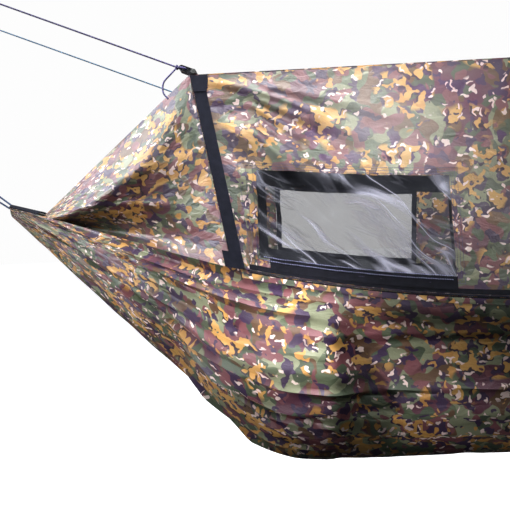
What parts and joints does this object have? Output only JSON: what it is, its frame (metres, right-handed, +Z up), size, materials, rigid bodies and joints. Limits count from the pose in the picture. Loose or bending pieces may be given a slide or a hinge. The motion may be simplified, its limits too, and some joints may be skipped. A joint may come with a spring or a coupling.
{
  "type": "tent hammock",
  "caption": "Gathered-end hammock with a zipped camouflage canopy above it, clear windows, spreader poles, guy lines, hanging ropes and a sleeping pad.",
  "frame": {"origin": "halfway between the two rope eyes, at their height", "axes": "+X along the hammock to the right seen from the front, +Y towards the back, +Z up"},
  "size_m": [3.1582, 0.5536, 1.2179],
  "materials": {
    "camouflage_cloth": "satin nylon cloth printed with sage, ochre, plum and brown patches",
    "window_film": "clear flexible film",
    "black_mesh": "matt woven binding",
    "black_webbing": "flat woven webbing",
    "zip_tape": "matt woven tape",
    "zip_teeth": "moulded",
    "zip_metal": "black lacquer",
    "pole": "black glass-fibre rod",
    "cord": "braided",
    "pad": "matt foam with a cloth cover"
  },
  "bodies": {
    "hammock": {"bed": "camouflage_cloth", "corner_loop_back_left": "black_webbing", "corner_loop_back_right": "black_webbing", "corner_loop_front_left": "black_webbing", "corner_loop_front_right": "black_webbing", "end_panel_left": "camouflage_cloth", "end_panel_right": "camouflage_cloth", "guy_back_left": "cord", "guy_back_right": "cord", "guy_eye_back_left": "cord", "guy_eye_back_right": "cord", "guy_eye_front_left": "cord", "guy_eye_front_right": "cord", "guy_front_left": "cord", "guy_front_right": "cord", "guy_knot_back_left": "cord", "guy_knot_back_right": "cord", "guy_knot_front_left": "cord", "guy_knot_front_right": "cord", "guy_tail_back_left": "cord", "guy_tail_back_right": "cord", "guy_tail_front_left": "cord", "guy_tail_front_right": "cord", "hem_left": "black_mesh", "hem_right": "black_mesh", "roof_panel": "camouflage_cloth", "sleeping_pad": "pad", "spreader_pole_left": "pole", "spreader_pole_right": "pole", "strap_back_left": "black_webbing", "strap_back_right": "black_webbing", "strap_front_left": "black_webbing", "strap_front_right": "black_webbing", "strap_tab_back_left": "black_webbing", "strap_tab_back_right": "black_webbing", "strap_tab_front_left": "black_webbing", "strap_tab_front_right": "black_webbing", "suspension_rope_left": "cord", "suspension_rope_right": "cord", "wall_back": "camouflage_cloth", "wall_front": "camouflage_cloth", "window_binding_back": "black_mesh", "window_binding_front": "black_mesh", "window_film_back": "window_film", "window_film_front": "window_film", "zip_tape_lower_back": "zip_tape", "zip_tape_lower_front": "zip_tape", "zip_tape_upper_back": "zip_tape", "zip_tape_upper_front": "zip_tape", "zip_teeth_back": "zip_teeth", "zip_teeth_front": "zip_teeth"},
    "slider_front": {"zip_slider_front": "zip_metal"},
    "pull_front": {"zip_pull_front": "zip_metal"},
    "slider_back": {"zip_slider_back": "zip_metal"},
    "pull_back": {"zip_pull_back": "zip_metal"}
  },
  "joints": [
    {"name": "zip_slide_front", "type": "hinge", "parent": "hammock", "child": "slider_front", "pos_m": [0, -0.26, 3.06], "axis": [0, 1, 0], "range_deg": [0, 25.1]},
    {"name": "pull_swing_front", "type": "hinge", "parent": "slider_front", "child": "pull_front", "pos_m": [0.74, -0.2654, -0.25849], "axis": [0, 1, 0], "continuous": true},
    {"name": "zip_slide_back", "type": "hinge", "parent": "hammock", "child": "slider_back", "pos_m": [0, 0.26, 3.06], "axis": [0, 1, 0], "range_deg": [0, 25.1]},
    {"name": "pull_swing_back", "type": "hinge", "parent": "slider_back", "child": "pull_back", "pos_m": [0.74, 0.2654, -0.25849], "axis": [0, 1, 0], "continuous": true}
  ]
}
